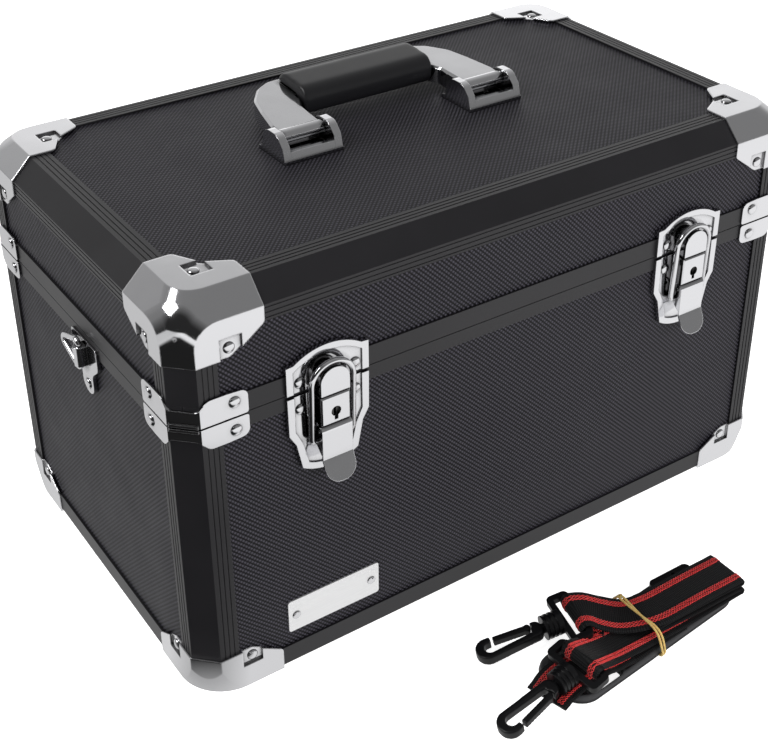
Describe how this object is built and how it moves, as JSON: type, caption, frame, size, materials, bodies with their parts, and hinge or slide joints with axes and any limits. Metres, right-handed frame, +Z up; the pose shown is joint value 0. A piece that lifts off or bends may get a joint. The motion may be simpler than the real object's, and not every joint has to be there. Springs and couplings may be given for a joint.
{
  "type": "aluminium camera case",
  "caption": "Hard carrying case with a hinged lid, bevelled black frame, chrome corners, draw latches with key locks, a folding handle and a detached shoulder strap.",
  "frame": {"origin": "on the floor under the middle of the case, level with the underside of the bottom corner caps", "axes": "+X along the front to the right as seen from the front, +Y from the latches to the rear hinges, +Z up"},
  "size_m": [0.394, 0.3404, 0.247],
  "materials": {
    "skin": "black skin pressed with a fine dimple pattern on laminated board",
    "frame": "black anodised extrusion with fine grooves",
    "lining": "charcoal foam with a napped cloth face",
    "chrome": "bright plated pressed steel",
    "plug": "dark turned steel",
    "plate": "bright satin aluminium",
    "grip": "soft black moulding with a low sheen",
    "webbing": "black woven webbing with red stripes",
    "pad": "black foam rubber pad",
    "fitting": "black moulded plastic",
    "band": "tan elastic band"
  },
  "bodies": {
    "case_base": {"base_front_panel": "skin", "base_back_panel": "skin", "base_left_panel": "skin", "base_right_panel": "skin", "base_bottom_panel": "skin", "base_corner_posts": "frame", "base_bottom_rails": "frame", "base_rim": "frame", "base_lining": "lining", "bottom_corner_caps": "chrome", "base_seam_plates": "chrome", "latch_plate_left": "chrome", "latch_plate_right": "chrome", "lock_housing_left": "chrome", "lock_housing_right": "chrome", "latch_pins": "chrome", "base_hinge_leaves": "chrome", "strap_anchor_left": "chrome", "strap_anchor_right": "chrome", "nameplate": "plate"},
    "lid": {"lid_top_panel": "skin", "lid_front_panel": "skin", "lid_back_panel": "skin", "lid_left_panel": "skin", "lid_right_panel": "skin", "lid_corner_posts": "frame", "lid_top_rails": "frame", "lid_rim": "frame", "lid_foam": "lining", "top_corner_caps": "chrome", "lid_seam_plates": "chrome", "keeper_left": "chrome", "keeper_right": "chrome", "lid_hinge_leaves": "chrome", "hinge_pins": "chrome", "handle_foot_left": "chrome", "handle_foot_right": "chrome", "handle_pins": "chrome"},
    "handle": {"handle_frame": "chrome", "handle_grip": "grip"},
    "latch_lever_left": {"latch_lever_left": "chrome"},
    "latch_lever_right": {"latch_lever_right": "chrome"},
    "latch_bail_left": {"latch_bail_left": "chrome"},
    "latch_bail_right": {"latch_bail_right": "chrome"},
    "lock_plug_left": {"lock_plug_left": "plug"},
    "lock_plug_right": {"lock_plug_right": "plug"},
    "strap_ring_left": {"strap_ring_left": "chrome"},
    "strap_ring_right": {"strap_ring_right": "chrome"},
    "shoulder_strap": {"shoulder_webbing": "webbing", "shoulder_pad": "pad", "strap_slider": "fitting", "strap_band": "band", "swivel_base_1": "fitting", "swivel_base_2": "fitting"},
    "snap_hook_1": {"snap_hook_1": "fitting"},
    "snap_hook_2": {"snap_hook_2": "fitting"},
    "snap_gate_1": {"snap_gate_1": "fitting"},
    "snap_gate_2": {"snap_gate_2": "fitting"}
  },
  "joints": [
    {"name": "lid_hinge", "type": "hinge", "parent": "case_base", "child": "lid", "pos_m": [0, 0.1149, 0.1635], "axis": [-1, 0, 0], "range_deg": [0, 100]},
    {"name": "handle_pivot", "type": "hinge", "parent": "lid", "child": "handle", "pos_m": [0, 0, 0.234], "axis": [1, 0, 0], "range_deg": [0, 100]},
    {"name": "lever_left", "type": "hinge", "parent": "case_base", "child": "latch_lever_left", "pos_m": [-0.114, -0.1176, 0.1415], "axis": [-1, 0, 0], "range_deg": [0, 95]},
    {"name": "bail_left", "type": "hinge", "parent": "latch_lever_left", "child": "latch_bail_left", "pos_m": [-0.114, -0.116, 0.1353], "axis": [-1, 0, 0], "range_deg": [-115, 0]},
    {"name": "key_left", "type": "hinge", "parent": "case_base", "child": "lock_plug_left", "pos_m": [-0.114, -0.116, 0.1505], "axis": [0, -1, 0], "range_deg": [0, 90]},
    {"name": "lever_right", "type": "hinge", "parent": "case_base", "child": "latch_lever_right", "pos_m": [0.114, -0.1176, 0.1415], "axis": [-1, 0, 0], "range_deg": [0, 95]},
    {"name": "bail_right", "type": "hinge", "parent": "latch_lever_right", "child": "latch_bail_right", "pos_m": [0.114, -0.116, 0.1353], "axis": [-1, 0, 0], "range_deg": [-115, 0]},
    {"name": "key_right", "type": "hinge", "parent": "case_base", "child": "lock_plug_right", "pos_m": [0.114, -0.116, 0.1505], "axis": [0, -1, 0], "range_deg": [0, 90]},
    {"name": "ring_left", "type": "hinge", "parent": "case_base", "child": "strap_ring_left", "pos_m": [-0.1939, -0.009, 0.1519], "axis": [0, 0, 1], "range_deg": [0, 170]},
    {"name": "ring_right", "type": "hinge", "parent": "case_base", "child": "strap_ring_right", "pos_m": [0.1939, -0.009, 0.1519], "axis": [0, 0, -1], "range_deg": [0, 170]},
    {"name": "strap_lift", "type": "slide", "parent": "case_base", "child": "shoulder_strap", "axis": [0, 0, 1], "range_m": [0, 0.3]},
    {"name": "hook_swivel_1", "type": "hinge", "parent": "shoulder_strap", "child": "snap_hook_1", "pos_m": [-0.017, -0.1751, 0.0118], "axis": [-0.9576, 0.2299, -0.1736], "continuous": true},
    {"name": "hook_gate_1", "type": "hinge", "parent": "snap_hook_1", "child": "snap_gate_1", "pos_m": [-0.03232, -0.16803, 0.00888], "axis": [-0.1688, 0.0405, 0.9848], "range_deg": [0, 15]},
    {"name": "hook_swivel_2", "type": "hinge", "parent": "shoulder_strap", "child": "snap_hook_2", "pos_m": [-0.037, -0.2065, 0.0136], "axis": [-0.9744, -0.0853, -0.2079], "continuous": true},
    {"name": "hook_gate_2", "type": "hinge", "parent": "snap_hook_2", "child": "snap_gate_2", "pos_m": [-0.05308, -0.21122, 0.01011], "axis": [0.2071, 0.0181, -0.9781], "range_deg": [0, 15]}
  ],
  "couplings": [
    {"joint": "bail_left", "follows": "lever_left", "ratio": -1.15},
    {"joint": "bail_right", "follows": "lever_right", "ratio": -1.15}
  ]
}
